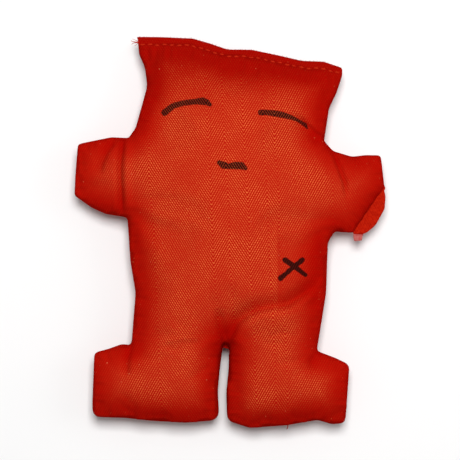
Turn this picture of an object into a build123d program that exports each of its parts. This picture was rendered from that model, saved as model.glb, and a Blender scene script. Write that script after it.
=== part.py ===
from build123d import *
import os

os.makedirs("parts", exist_ok=True)

# A small hand-sewn cloth dummy: two herringbone cotton panels seamed round the outline and
# stuffed.  It lies on its back.  +Z points up out of the face, +Y toward the head, +X toward
# the doll's own left arm.  "left" and "right" are the doll's own sides.  Millimetres.

# ---- driving dimensions ----
SEAM_Z = 16.0            # height of the outline seam above the surface the doll lies on
CLOTH = 0.6              # thickness of one layer of the twill
SEAM_WIDTH = 0.6         # width of the seam line inside the edge
THREAD_HEIGHT = 0.5      # height of the seam line
STUFFING_GAP = 0.2       # free space between cloth and stuffing
TALL = 60.0              # taller than any part of the doll
WIDE = 300.0             # wider than the whole doll
JOINT_GAP = 0.5          # width of the cut between two bodies at a fold line

NECK_Y = 53.0            # fold lines across the body
WAIST_Y = -33.0
HIP_Y = -53.7            # level with the crotch
SHOULDER_X = 54.0        # fold lines at the arms, the same distance each side
LEG_SPLIT_X = -1.7       # midway between the legs

NECK_FORWARD, NECK_BACK = 35.0, 8.0        # degrees
SHOULDER_FORWARD, SHOULDER_BACK = 60.0, 5.0
WAIST_FORWARD = 40.0
HIP_FORWARD = 35.0

# The head is stuffed up to a line between these two points, and is flat cloth above it.
STUFFED_TO_LEFT = (54.0, 74.4)
STUFFED_TO_RIGHT = (-44.0, 88.4)
LIP = 0.05               # the stuffed shape ends this much thicker than the flat cloth
HOLLOW_END = 0.1         # half thickness of the hollow and the stuffing where they end
HOLLOW_STOP = 3.0        # and how many times their inset they stop short of that line
SIDE_ROOM = 1.0          # the last section runs this much past the line's two ends
# The closing stitches run across the flat cloth, about 4 mm below its raw edge.
CLOSING_LINE = [(-43.6, 89.9), (-18.0, 89.2), (-1.0, 84.0), (10.5, 83.8), (34.5, 78.7),
                (45.0, 78.2), (53.2, 75.9)]
STITCH_PITCH = 3.5
STITCH_LENGTH = 2.4
STITCH_THICKNESS = 0.5

# The cloth turned out at the end of the left arm, and how far its top lies below the seam.
ALLOWANCE_THICKNESS = 0.6
ALLOWANCE_DROP = 0.2
TURNED_OUT_ALLOWANCE = [(74.6, 22.0), (74.6, 17.0), (74.3, 11.2), (70.0, 3.4), (64.1, -1.0),
                        (59.2, -1.0), (59.2, 1.6), (63.0, 7.0), (68.0, 16.0), (73.2, 22.0)]
# The pale scrap of lining caught in that seam.
SCRAP_THICKNESS = 0.3
SCRAP_DROP = 0.3
LINING_SCRAP = [(59.4, -1.0), (63.9, -1.0), (63.4, -4.0), (59.3, -4.4)]

YARN_RADIUS = 0.2
FRAYED_ENDS = [(-47.6, 91.9), (-47.2, 90.2), (-46.2, 91.0)]   # tips of the yarns at the corner
FRAYED_ROOT = (-44.0, 91.3)
FOOT_THREAD_ROOT = (27.7, -91.0)
FOOT_THREAD_TIP = (27.3, -93.3)

# ---- outline of the sewn doll: x, y and the radius that rounds the corner ----
OUTLINE = [
    # top edge of the head, from the right corner
    (-44.4, 93.7, 0.4), (-18.0, 93.0, 8.0), (-1.0, 87.6, 8.0), (10.5, 87.5, 8.0),
    (34.5, 82.3, 6.0), (45.0, 81.8, 6.0), (54.0, 78.8, 0.8),
    # left side of the head to the neck
    (53.9, 75.0, 2.0), (47.6, 59.5, 12.0), (45.2, 43.8, 1.5),
    # left arm, with the corner cut off where the allowance is turned out
    (49.5, 39.0, 4.0), (58.5, 36.2, 8.0), (72.4, 36.9, 1.5), (74.2, 21.5, 1.0),
    (65.5, 9.0, 10.0), (59.0, -0.4, 1.0), (50.2, 0.3, 2.0),
    # left flank
    (47.0, -5.0, 5.0), (46.2, -29.0, 20.0), (44.3, -41.0, 20.0), (41.7, -57.0, 1.5),
    # left foot and leg
    (50.5, -60.3, 6.0), (57.4, -63.6, 3.5), (55.4, -91.8, 5.0), (37.5, -90.9, 10.0),
    (9.5, -94.0, 7.0), (-1.4, -90.5, 4.5), (-1.8, -77.0, 20.0), (-0.8, -66.0, 20.0),
    (-0.8, -54.8, 0.6), (-2.6, -54.8, 0.6),
    # right leg and foot
    (-5.0, -67.0, 15.0), (-5.8, -76.0, 20.0), (-5.1, -90.2, 5.0), (-37.0, -90.6, 20.0),
    (-50.0, -89.2, 10.0), (-66.1, -88.7, 5.0), (-66.0, -80.0, 15.0), (-65.1, -57.8, 2.5),
    (-58.3, -56.0, 8.0), (-52.0, -53.7, 3.0), (-47.3, -54.2, 1.0),
    # right flank
    (-46.2, -40.0, 20.0), (-45.3, -29.0, 15.0), (-47.8, -14.0, 20.0), (-49.2, 7.0, 1.0),
    # right arm
    (-59.7, 8.7, 6.0), (-66.5, 11.8, 8.0), (-74.7, 17.6, 2.0), (-74.0, 30.0, 20.0),
    (-73.0, 42.3, 2.0), (-57.0, 45.6, 8.0), (-48.7, 45.2, 1.0),
    # right side of the head
    (-45.3, 50.0, 5.0), (-39.7, 70.0, 12.0), (-40.8, 79.0, 12.0), (-43.7, 85.5, 6.0),
]


def outline_face():
    """The flat shape inside the outline seam."""
    points = [(x, y) for x, y, radius in OUTLINE]
    radii = [radius for x, y, radius in OUTLINE]
    return make_face(FilletPolyline(*points, radius=radii, close=True))


def plan_block(x_low, x_high, y_low, y_high):
    """A block over a rectangle of the plan, taller than the doll."""
    middle = ((x_low + x_high) / 2, (y_low + y_high) / 2, SEAM_Z)
    return Pos(*middle) * Box(x_high - x_low, y_high - y_low, TALL)


# ---- the stuffed thickness, as lofts of half ellipses ----
# Each station: distance along the limb, centre across it, half width, front depth, back depth.
TORSO_STATIONS = [
    (62.0, 0.0, 47.5, 16.0, 14.0),
    (45.0, 0.0, 49.5, 20.0, 17.5),
    (18.0, 0.0, 52.0, 24.0, 18.5),
    (-12.0, 0.0, 49.5, 23.0, 18.5),
    (-38.0, -0.8, 47.5, 20.0, 17.5),
    (-66.0, -3.0, 47.5, 15.0, 15.0),
]
HEAD_STATIONS = [
    (44.0, 0.0, 49.0, 17.0, 14.5),
    (58.0, 1.0, 49.5, 14.5, 12.5),
    (72.0, 4.0, 52.0, 9.0, 8.0),
]
RIGHT_ARM_STATIONS = [
    (-44.0, 27.0, 22.5, 12.0, 11.0),
    (-60.0, 27.5, 19.5, 10.5, 10.0),
    (-70.0, 28.5, 17.5, 8.0, 7.5),
    (-76.0, 29.5, 15.5, 2.0, 2.0),
]
LEFT_ARM_STATIONS = [
    (44.0, 21.0, 24.0, 12.0, 11.0),
    (60.0, 19.0, 20.5, 10.5, 10.0),
    (70.0, 20.0, 18.5, 8.0, 7.5),
    (76.0, 21.0, 17.5, 2.0, 2.0),
]
RIGHT_LEG_STATIONS = [
    (-50.0, -33.0, 34.0, 15.0, 15.0),
    (-68.0, -35.5, 32.0, 15.5, 15.0),
    (-82.0, -35.5, 32.0, 12.0, 11.0),
    (-91.5, -35.5, 32.0, 2.0, 2.0),
]
LEFT_LEG_STATIONS = [
    (-50.0, 24.0, 31.0, 15.0, 15.0),
    (-68.0, 27.5, 31.0, 15.5, 15.0),
    (-84.0, 27.5, 31.0, 12.0, 11.0),
    (-94.5, 27.5, 31.0, 2.0, 2.0),
]


def section(half_width, front, back):
    """One cross-section: half an ellipse for the front cloth and half for the back."""
    upper = EllipticalCenterArc((0, 0), half_width, front, start_angle=0, arc_size=180)
    lower = EllipticalCenterArc((0, 0), half_width, back, start_angle=180, arc_size=180)
    return make_face(upper + lower)


def pillow(stations, along, inset):
    """Loft the stations, each taken in by inset, along the y or the x axis."""
    faces = []
    for distance, across, half_width, front, back in stations:
        if along == "y":
            plane = Plane((across, distance, SEAM_Z), x_dir=(1, 0, 0), z_dir=(0, -1, 0))
        else:
            plane = Plane((distance, across, SEAM_Z), x_dir=(0, 1, 0), z_dir=(1, 0, 0))
        faces.append(plane * section(half_width - inset, front - inset, back - inset))
    return loft(faces)


def head_pillow(inset):
    """The head thins out to the closing line, which slopes down to the doll's left."""
    faces = []
    for distance, across, half_width, front, back in HEAD_STATIONS:
        plane = Plane((across, distance, SEAM_Z), x_dir=(1, 0, 0), z_dir=(0, -1, 0))
        faces.append(plane * section(half_width - inset, front - inset, back - inset))
    left = Vector(*STUFFED_TO_LEFT, SEAM_Z)
    right = Vector(*STUFFED_TO_RIGHT, SEAM_Z)
    across = (left - right).normalized()
    down = across.cross(Vector(0, 0, 1))
    middle = (left + right) * 0.5 + down * inset * HOLLOW_STOP
    plane = Plane(middle, x_dir=across, z_dir=down)
    depth = CLOTH + LIP if inset == 0 else HOLLOW_END
    half_width = (left - right).length / 2 + SIDE_ROOM - inset
    faces.append(plane * section(half_width, depth, depth))
    return loft(faces)


# ---- the bodies: where each one lies in plan, and its thickness ----
FAR = 120.0              # past the doll's edge in every direction
ARM_LOW, ARM_HIGH = -12.0, 52.0            # past the lower and upper edges of both arms

head_plan = plan_block(-FAR, FAR, NECK_Y, FAR)
right_arm_plan = plan_block(-FAR, -SHOULDER_X, ARM_LOW, ARM_HIGH)
left_arm_plan = plan_block(SHOULDER_X, FAR, ARM_LOW, ARM_HIGH)
torso_plan = plan_block(-SHOULDER_X, SHOULDER_X, WAIST_Y, NECK_Y)
pelvis_plan = plan_block(-SHOULDER_X, SHOULDER_X, HIP_Y, WAIST_Y)
left_leg_plan = plan_block(LEG_SPLIT_X + JOINT_GAP / 2, FAR, -FAR, HIP_Y)
right_leg_plan = plan_block(-FAR, LEG_SPLIT_X - JOINT_GAP / 2, -FAR, HIP_Y)


# ---- the cuts at the fold lines ----
CUT_REACH = 40.0         # from the hinge axis to past the front or the back of the doll


def fold_cut(origin, axis, toward_child, length, forward, back):
    """What is left free at a fold line: a notch that lets the front close by the forward
    angle, a narrower one behind, and a thin gap where the two meet at the hinge axis."""
    plane = Plane(origin, x_dir=toward_child, z_dir=axis)
    # In this plane x runs toward the child and y runs along +Z or -Z, found from the axis.
    up = 1 if plane.y_dir.Z > 0 else -1
    profile = Rectangle(JOINT_GAP, 2 * CUT_REACH)
    for angle, side in ((forward, up), (back, -up)):
        if angle > 0:
            top = Vector(0, CUT_REACH * side)
            left_edge = top.rotate(Axis.Z, angle / 2)
            right_edge = top.rotate(Axis.Z, -angle / 2)
            half_gap = JOINT_GAP / 2
            corners = [(-half_gap, 0), (half_gap, 0)]
            low, high = sorted([left_edge, right_edge], key=lambda edge: edge.X)
            corners += [(high.X + half_gap, high.Y), (low.X - half_gap, low.Y)]
            profile += make_face(Polyline(*corners, close=True))
    return extrude(plane * profile, amount=length / 2, both=True)


ACROSS = 140.0           # cuts across the body run past both its sides
ARM_CUT = 70.0           # and those at the arms past the arms' edges
ARM_MIDDLE = 20.0
neck_cut = fold_cut((0, NECK_Y, SEAM_Z), (1, 0, 0), (0, 1, 0), ACROSS,
                    NECK_FORWARD, NECK_BACK)
waist_cut = fold_cut((0, WAIST_Y, SEAM_Z), (1, 0, 0), (0, -1, 0), ACROSS, WAIST_FORWARD, 0)
hip_cut = fold_cut((0, HIP_Y, SEAM_Z), (1, 0, 0), (0, -1, 0), ACROSS, HIP_FORWARD, 0)
right_cut = fold_cut((-SHOULDER_X, ARM_MIDDLE, SEAM_Z), (0, 1, 0), (-1, 0, 0), ARM_CUT,
                     SHOULDER_FORWARD, SHOULDER_BACK)
left_cut = fold_cut((SHOULDER_X, ARM_MIDDLE, SEAM_Z), (0, 1, 0), (1, 0, 0), ARM_CUT,
                    SHOULDER_FORWARD, SHOULDER_BACK)

# ---- the layers under each other, from the outline inwards ----
doll_plan = outline_face()
inside_plan = offset(doll_plan, -CLOTH)
seam_inner_plan = offset(doll_plan, -CLOTH - SEAM_WIDTH)
stuffing_plan = offset(doll_plan, -CLOTH - SEAM_WIDTH - STUFFING_GAP)


def column(face):
    """The outline raised through the whole height."""
    return Pos(0, 0, SEAM_Z - TALL / 2) * extrude(face, amount=TALL)


outline_column = column(doll_plan)
inside_column = column(inside_plan)
stuffing_column = column(stuffing_plan)
seam_band = extrude(inside_plan - seam_inner_plan, amount=THREAD_HEIGHT / 2, both=True)
seam_band = Pos(0, 0, SEAM_Z) * seam_band
flat_edge = Pos(0, 0, SEAM_Z) * extrude(doll_plan, amount=CLOTH, both=True)
above_surface = Pos(0, 0, TALL / 2) * Box(WIDE, WIDE, TALL)
above_cloth = Pos(0, 0, TALL / 2 + CLOTH) * Box(WIDE, WIDE, TALL)
above_gap = Pos(0, 0, TALL / 2 + CLOTH + STUFFING_GAP) * Box(WIDE, WIDE, TALL)
front_half = Pos(0, 0, SEAM_Z + TALL / 2) * Box(WIDE, WIDE, TALL)
back_half = Pos(0, 0, SEAM_Z - TALL / 2) * Box(WIDE, WIDE, TALL)


def torso_shape(inset):
    """The trunk with the roots of both arms."""
    shape = pillow(TORSO_STATIONS, "y", inset)
    shape += pillow(RIGHT_ARM_STATIONS, "x", inset)
    return shape + pillow(LEFT_ARM_STATIONS, "x", inset)


def pelvis_shape(inset):
    return pillow(TORSO_STATIONS, "y", inset)


def right_arm_shape(inset):
    return pillow(RIGHT_ARM_STATIONS, "x", inset)


def left_arm_shape(inset):
    return pillow(LEFT_ARM_STATIONS, "x", inset)


def right_leg_shape(inset):
    return pillow(RIGHT_LEG_STATIONS, "y", inset)


def left_leg_shape(inset):
    return pillow(LEFT_LEG_STATIONS, "y", inset)


BODIES = {
    "head": (head_plan, head_pillow, [neck_cut]),
    "torso": (torso_plan, torso_shape, [neck_cut, waist_cut, right_cut, left_cut]),
    "pelvis": (pelvis_plan, pelvis_shape, [waist_cut, hip_cut]),
    "right_arm": (right_arm_plan, right_arm_shape, [right_cut]),
    "left_arm": (left_arm_plan, left_arm_shape, [left_cut]),
    "right_leg": (right_leg_plan, right_leg_shape, [hip_cut]),
    "left_leg": (left_leg_plan, left_leg_shape, [hip_cut]),
}


def write(name, shape):
    """Write one named piece."""
    export_step(shape, f"parts/{name}.step")
    print(name, round(shape.volume, 1), len(shape.solids()))


def make_body(name, plan, shape_at, cuts):
    """The two panels, the seam and the stuffing of one body."""
    outer = shape_at(0) & outline_column & above_surface
    hollow = shape_at(CLOTH) & inside_column & above_cloth
    filling = shape_at(CLOTH + STUFFING_GAP) & stuffing_column & above_gap
    if name == "head":
        outer += flat_edge & plan
    walls = (outer - hollow) & plan
    seam = seam_band & plan
    if name == "head":
        seam = seam & hollow
    filling = filling & plan
    for cut in cuts:
        walls = walls - cut
        seam = seam - cut
        filling = filling - cut
    walls = walls - seam
    write(f"front_panel_{name}", walls & front_half)
    write(f"back_panel_{name}", walls & back_half)
    write(f"outline_seam_{name}", seam)
    write(f"stuffing_{name}", filling)


for body, (plan, shape_at, cuts) in BODIES.items():
    make_body(body, plan, shape_at, cuts)


# ---- the closing stitches across the top of the head, in front and behind ----
def stitch_row():
    """Short bars of thread along the closing line, lying on both faces of the flat cloth."""
    line = Polyline(*CLOSING_LINE)
    count = int(line.length // STITCH_PITCH)
    stitches = []
    for number in range(count):
        along = (number + 0.5) / count
        point = line.position_at(along)
        tangent = line.tangent_at(along)
        for side in (1, -1):
            height = SEAM_Z + side * (CLOTH + STITCH_THICKNESS / 2)
            plane = Plane((point.X, point.Y, height), x_dir=tangent, z_dir=(0, 0, 1))
            bar = plane * Box(STITCH_LENGTH, STITCH_THICKNESS, STITCH_THICKNESS)
            stitches.append(bar)
    return Compound(children=stitches)


# ---- the small loose things that hang out of the seams ----
def flat_piece(points, top, thickness):
    """A flat scrap of cloth below the height top, outside the outline."""
    sheet = extrude(make_face(Polyline(*points, close=True)), amount=thickness)
    return Pos(0, 0, top - thickness) * sheet - outline_column


def yarn(root, tip):
    """A straight thread end standing out of the outline seam."""
    start = Vector(*root, SEAM_Z)
    run = Vector(*tip, SEAM_Z) - start
    rod = Plane(start + run * 0.5, z_dir=run) * Cylinder(YARN_RADIUS, run.length)
    return rod - outline_column


write("closing_stitches", stitch_row())
write("turned_out_allowance",
      flat_piece(TURNED_OUT_ALLOWANCE, SEAM_Z - ALLOWANCE_DROP, ALLOWANCE_THICKNESS))
write("lining_scrap", flat_piece(LINING_SCRAP, SEAM_Z - SCRAP_DROP, SCRAP_THICKNESS))
frayed = yarn(FRAYED_ROOT, FRAYED_ENDS[0])
for tip in FRAYED_ENDS[1:]:
    frayed += yarn(FRAYED_ROOT, tip)
write("frayed_corner_threads", frayed)
write("foot_thread_end", yarn(FOOT_THREAD_ROOT, FOOT_THREAD_TIP))
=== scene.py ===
import math

import bmesh
import bpy
import numpy as np
from mathutils import Matrix, Vector
from mathutils.bvhtree import BVHTree


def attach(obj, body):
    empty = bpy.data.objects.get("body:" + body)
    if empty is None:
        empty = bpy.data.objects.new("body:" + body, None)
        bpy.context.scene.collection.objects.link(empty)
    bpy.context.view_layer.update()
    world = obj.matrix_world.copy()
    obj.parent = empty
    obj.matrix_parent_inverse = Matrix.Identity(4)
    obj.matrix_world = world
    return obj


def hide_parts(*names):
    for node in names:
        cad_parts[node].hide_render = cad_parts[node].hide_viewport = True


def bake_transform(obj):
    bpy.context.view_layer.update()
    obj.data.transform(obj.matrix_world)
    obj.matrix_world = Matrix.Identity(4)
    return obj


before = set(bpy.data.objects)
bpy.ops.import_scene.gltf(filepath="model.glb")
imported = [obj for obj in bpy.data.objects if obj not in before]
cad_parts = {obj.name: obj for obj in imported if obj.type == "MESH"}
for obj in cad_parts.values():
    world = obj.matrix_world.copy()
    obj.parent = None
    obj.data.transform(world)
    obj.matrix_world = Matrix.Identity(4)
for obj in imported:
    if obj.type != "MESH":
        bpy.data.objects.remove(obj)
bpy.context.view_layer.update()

# A small hand-sewn cloth dummy that lies on its back: +Z points out of the face and +Y to the
# head.  Left and right are the doll's own sides.  Sizes are millimetres until a mesh is finished.
MM = 0.001
SEAM_Z = 16.0            # height of the outline seam above the surface the doll lies on


# ---------------------------------------------------------------------------------------------
# The view: a plain pale floor, one large softbox overhead, a weaker one at the head's side and
# a dim surround.  The camera looks straight down from the height of a hand-held camera.
# ---------------------------------------------------------------------------------------------
VIEW_WIDTH = 220.8       # how wide the view is at the height of the seam
VIEW_CENTRE = (0.02, 1.03)
CAMERA_HEIGHT = 900.0
SENSOR = 36.0

scene = bpy.context.scene
scene.view_settings.view_transform = "Standard"

lens = bpy.data.cameras.new("camera")
lens.sensor_width = SENSOR
lens.lens = SENSOR * CAMERA_HEIGHT / VIEW_WIDTH
camera = bpy.data.objects.new("camera", lens)
camera.location = Vector((*VIEW_CENTRE, SEAM_Z + CAMERA_HEIGHT)) * MM
scene.collection.objects.link(camera)
scene.camera = camera


def softbox(name, place, size, power):
    """A square studio light that faces the doll."""
    light = bpy.data.lights.new(name, "AREA")
    light.size = size
    light.energy = power
    lamp = bpy.data.objects.new(name, light)
    lamp.location = place
    lamp.rotation_euler = (-Vector(place)).to_track_quat("-Z", "Y").to_euler()
    scene.collection.objects.link(lamp)


softbox("overhead_light", (0.02, 0.22, 0.98), 0.32, 9.4)
softbox("side_light", (0.75, 0.10, 0.60), 0.50, 1.0)

surround = bpy.data.worlds.new("surround")
surround.use_nodes = True
surround.node_tree.nodes["Background"].inputs["Color"].default_value = (1.0, 0.99, 0.98, 1.0)
surround.node_tree.nodes["Background"].inputs["Strength"].default_value = 0.28
scene.world = surround


def new_piece(name, shape, material=None):
    """An object made from a finished bmesh, which is then done with."""
    mesh = bpy.data.meshes.new(name)
    shape.to_mesh(mesh)
    shape.free()
    if material:
        mesh.materials.append(material)
    piece = bpy.data.objects.new(name, mesh)
    scene.collection.objects.link(piece)
    return piece


floor_shape = bmesh.new()
bmesh.ops.create_grid(floor_shape, x_segments=1, y_segments=1, size=1.5)
floor = new_piece("floor", floor_shape)


# ---------------------------------------------------------------------------------------------
# Finishes.  A Value is a number or a colour that varies over a surface; arithmetic on it adds
# Math nodes.  A Finish is one material, and all its other nodes come from its add method.
# ---------------------------------------------------------------------------------------------
class Value:
    """The output of a node in a finish."""

    def __init__(self, finish, socket):
        self.finish = finish
        self.socket = socket

    def math(self, operation, *others):
        inputs = dict(enumerate((self, *others)))
        return self.finish.add("ShaderNodeMath", {"operation": operation}, inputs)

    def __add__(self, other):
        return self.math("ADD", other)

    def __sub__(self, other):
        return self.math("SUBTRACT", other)

    def __rsub__(self, other):
        return (self * -1.0) + other

    def __mul__(self, other):
        return self.math("MULTIPLY", other)

    def __truediv__(self, other):
        return self.math("DIVIDE", other)

    __radd__ = __add__
    __rmul__ = __mul__


class Finish:
    """A material on one Principled shader."""

    def __init__(self, name, roughness):
        self.material = bpy.data.materials.new(name)
        self.material.use_nodes = True
        self.tree = self.material.node_tree
        self.shader = self.tree.nodes["Principled BSDF"]
        self.shader.inputs["Roughness"].default_value = roughness
        self.shader.inputs["Specular IOR Level"].default_value = 0.0

    def add(self, kind, settings=None, inputs=None, output=0):
        """A node of this kind: its settings first, then the values or links of its sockets."""
        node = self.tree.nodes.new(kind)
        for name, value in (settings or {}).items():
            setattr(node, name, value)
        for name, value in (inputs or {}).items():
            self.feed(node.inputs[name], value)
        return Value(self, node.outputs[output])

    def feed(self, socket, value):
        if isinstance(value, Value):
            self.tree.links.new(value.socket, socket)
        else:
            socket.default_value = value

    def set(self, name, value):
        self.feed(self.shader.inputs[name], value)

    def noise(self, place, scale, detail=2.0, roughness=0.5):
        inputs = {"Vector": place, "Scale": scale, "Detail": detail, "Roughness": roughness}
        return self.add("ShaderNodeTexNoise", {}, inputs)

    def between(self, value, low, high):
        """0 below low, 1 above high, and smooth in between."""
        settings = {"interpolation_type": "SMOOTHSTEP"}
        inputs = {"Value": value, "From Min": low, "From Max": high}
        return self.add("ShaderNodeMapRange", settings, inputs)

    def mix(self, share, first, second):
        """A colour that goes from first to second as share goes from 0 to 1."""
        settings = {"data_type": "RGBA"}
        inputs = {"Factor": share, 6: first, 7: second}
        return self.add("ShaderNodeMix", settings, inputs, 2)

    def vector(self, operation, *others, output=0):
        inputs = dict(enumerate(others))
        return self.add("ShaderNodeVectorMath", {"operation": operation}, inputs, output)

    def parts(self, vector):
        """The x, y and z of a vector."""
        node = self.add("ShaderNodeSeparateXYZ", {}, {0: vector}).socket.node
        return [Value(self, socket) for socket in node.outputs]

    def combine(self, x, y, z):
        return self.add("ShaderNodeCombineXYZ", {}, {0: x, 1: y, 2: z})

    def bump(self, height, distance, strength=1.0):
        inputs = {"Height": height, "Distance": distance, "Strength": strength}
        self.set("Normal", self.add("ShaderNodeBump", {}, inputs))


pale = Finish("floor_paper", 0.9)
pale.set("Base Color", (0.86, 0.86, 0.86, 1.0))
floor.data.materials.append(pale.material)


# ---------------------------------------------------------------------------------------------
# The cut: the flat shape that both panels share inside the seam.  Each corner is x, y and the
# radius that rounds it.
# ---------------------------------------------------------------------------------------------
OUTLINE = [
    # raw top edge of the head, from the right corner
    (-44.4, 93.7, 0.4), (-30.0, 93.5, 6.0), (-18.0, 93.0, 8.0), (-9.0, 90.4, 5.0),
    (-1.0, 87.6, 6.0), (10.5, 87.5, 8.0), (23.0, 84.9, 6.0), (34.5, 82.3, 6.0),
    (45.0, 81.8, 6.0), (54.0, 78.8, 0.8),
    # left side of the head to the neck
    (53.9, 75.0, 2.0), (51.0, 66.5, 3.0), (47.6, 59.5, 4.0), (46.4, 51.5, 3.0), (45.2, 43.8, 1.5),
    # left arm, with the corner cut off where the allowance is turned out
    (49.5, 39.0, 4.0), (58.5, 36.2, 8.0), (65.0, 37.0, 5.0), (72.4, 36.9, 1.5), (74.2, 21.5, 1.0),
    (65.5, 9.0, 10.0), (59.0, -0.4, 1.0), (50.2, 0.3, 2.0),
    # left flank
    (47.0, -5.0, 5.0), (46.2, -29.0, 20.0), (44.3, -41.0, 20.0), (41.7, -57.0, 1.5),
    # left foot and leg
    (50.5, -60.3, 6.0), (57.4, -63.6, 3.5), (55.4, -91.8, 5.0), (49.0, -92.2, 2.5),
    (42.0, -90.2, 2.5), (37.5, -90.9, 2.5), (27.5, -92.7, 6.0), (9.5, -94.0, 7.0),
    (-1.4, -90.5, 4.5), (-1.8, -77.0, 20.0), (-0.7, -66.0, 20.0),
    (-0.3, -52.0, 0.6), (-3.1, -52.0, 0.6),
    # right leg and foot
    (-5.0, -67.0, 15.0), (-5.8, -76.0, 20.0), (-5.1, -90.2, 5.0), (-21.0, -91.5, 8.0),
    (-37.0, -90.6, 20.0), (-50.0, -89.2, 10.0), (-66.1, -88.7, 5.0), (-66.0, -80.0, 15.0),
    (-65.1, -57.8, 2.5), (-58.3, -56.0, 8.0), (-52.0, -53.7, 3.0), (-47.3, -54.2, 1.0),
    # right flank
    (-46.2, -40.0, 20.0), (-45.3, -29.0, 15.0), (-47.8, -14.0, 20.0), (-49.2, 7.0, 1.0),
    # right arm
    (-59.7, 8.7, 6.0), (-66.5, 11.8, 8.0), (-74.7, 17.6, 2.0), (-74.0, 30.0, 20.0),
    (-73.0, 42.3, 2.0), (-57.0, 45.6, 8.0), (-48.7, 45.2, 1.0),
    # right side of the head
    (-45.3, 50.0, 5.0), (-39.7, 70.0, 12.0), (-40.8, 79.0, 12.0), (-43.7, 85.5, 6.0),
]
# The stitches that close the head run across it here; above them the cloth is flat.
CLOSING_LINE = [(-43.6, 89.9), (-18.0, 89.2), (-1.0, 84.0), (10.5, 83.8), (34.5, 78.7),
                (45.0, 78.2), (53.2, 75.9)]
CORNER_STEPS = 6


def rounded(corners):
    """The outline with each corner drawn as a short smooth bend."""
    line = []
    for number, (x, y, radius) in enumerate(corners):
        corner = Vector((x, y))
        before = Vector(corners[number - 1][:2]) - corner
        after = Vector(corners[(number + 1) % len(corners)][:2]) - corner
        reach = radius / math.tan(before.angle(after) / 2)
        reach = min(reach, before.length * 0.49, after.length * 0.49)
        start = corner + before.normalized() * reach
        end = corner + after.normalized() * reach
        for step in range(CORNER_STEPS + 1):
            t = step / CORNER_STEPS
            line.append(start * (1 - t) ** 2 + corner * 2 * t * (1 - t) + end * t ** 2)
    return line


def closing_height(x):
    """How far up the cut the closing stitches are at this x."""
    return np.interp(x, [p[0] for p in CLOSING_LINE], [p[1] for p in CLOSING_LINE])


outline = rounded(OUTLINE)


def nearest(points, line, closed):
    """For each point: its distance from a line, how far along the line the nearest place is,
    the side it is on (1 to the left of the line's direction, -1 to the right) and that place."""
    distance = np.full(len(points), np.inf)
    along = np.zeros(len(points))
    side = np.ones(len(points))
    places = points.copy()
    run = 0.0
    ends = [*line[1:], line[0]] if closed else line[1:]
    for start, end in zip(line, ends):
        start, step = np.array(start[:2]), np.array(end[:2]) - np.array(start[:2])
        length = math.hypot(*step)
        if length < 1e-6:
            continue
        away = points - start
        share = np.clip(away @ step / length ** 2, 0, 1)
        gap = np.hypot(*(away - share[:, None] * step).T)
        closer = gap < distance
        distance[closer] = gap[closer]
        along[closer] = run + share[closer] * length
        turn = np.sign(step[0] * away[:, 1] - step[1] * away[:, 0])
        side[closer] = turn[closer]
        places[closer] = start + share[closer, None] * step
        run += length
    return distance, along, side, places


def inside_cut(places):
    """Whether each place lies inside the outline, by counting the edges to its right."""
    crossings = np.zeros(len(places), dtype=int)
    for start, end in zip(outline, [*outline[1:], outline[0]]):
        if abs(end.y - start.y) < 1e-9:
            continue
        spans = (places[:, 1] > start.y) != (places[:, 1] > end.y)
        at_x = start.x + (places[:, 1] - start.y) * (end.x - start.x) / (end.y - start.y)
        crossings += spans & (places[:, 0] < at_x)
    return crossings % 2 == 1


# ---------------------------------------------------------------------------------------------
# The cloth cover, front and back together: 0.6 mm herringbone cotton twill, sewn round the
# outline, turned and filled.  A film pushed up from inside gives the filled height, and then a
# cloth simulation under pressure lets the cotton find its own wrinkles, held at the seam.
# ---------------------------------------------------------------------------------------------
CELL = 1.3               # size of the cloth's squares while it is shaped
BLOW_UP_FRAMES = 20      # how long the cover is blown up for
LOOSE_AT = 12.0          # filled height at which the cloth is at its loosest
PLATE_CELLS = 5          # the flat cut is this many squares thick to start with
SEAM_HEIGHT = 1.0        # height of the seam's edge once the cut is pressed flat
FRONT_DEPTH = 23.6       # how far the filled front stands above the seam
BACK_DEPTH = 18.2
FULLNESS = 0.46          # height of a filled limb over half its width
SETTLE = 1.6             # how softly the back flattens on the surface it lies on
FILM_PASSES = 3500


def points_of(mesh):
    flat = np.empty(len(mesh.vertices) * 3)
    mesh.vertices.foreach_get("co", flat)
    return flat.reshape(-1, 3)


def move_points(mesh, points):
    mesh.vertices.foreach_set("co", points.ravel())
    mesh.update()


def keep(mesh, name, kind, field, values):
    """Store a value for each point, which later steps and the finishes read by this name."""
    attribute = mesh.attributes.new(name, kind, "POINT")
    attribute.data.foreach_set(field, values.ravel())


def applied(obj):
    """The object's mesh with its modifiers applied."""
    made = obj.evaluated_get(bpy.context.evaluated_depsgraph_get())
    mesh = bpy.data.meshes.new_from_object(made)
    obj.modifiers.clear()
    obj.data = mesh
    return mesh


def flat_cut(name, cell):
    """The cut as a thick flat plate of even squares."""
    shape = bmesh.new()
    half = cell * PLATE_CELLS / 2
    corners = [shape.verts.new((point.x, point.y, -half + cell / 2)) for point in outline]
    shape.faces.new(corners)
    top = bmesh.ops.extrude_face_region(shape, geom=shape.faces[:])["geom"]
    lifted = [part for part in top if isinstance(part, bmesh.types.BMVert)]
    bmesh.ops.translate(shape, verts=lifted, vec=(0, 0, 2 * half))
    bmesh.ops.recalc_face_normals(shape, faces=shape.faces)
    bmesh.ops.scale(shape, verts=shape.verts, vec=(MM, MM, MM))
    plate = new_piece(name, shape)
    squares = plate.modifiers.new("squares", "REMESH")
    squares.mode = "VOXEL"
    squares.voxel_size = cell * MM
    mesh = applied(plate)
    points = points_of(mesh) / MM - (0, 0, cell / 2)
    return plate, points


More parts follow.
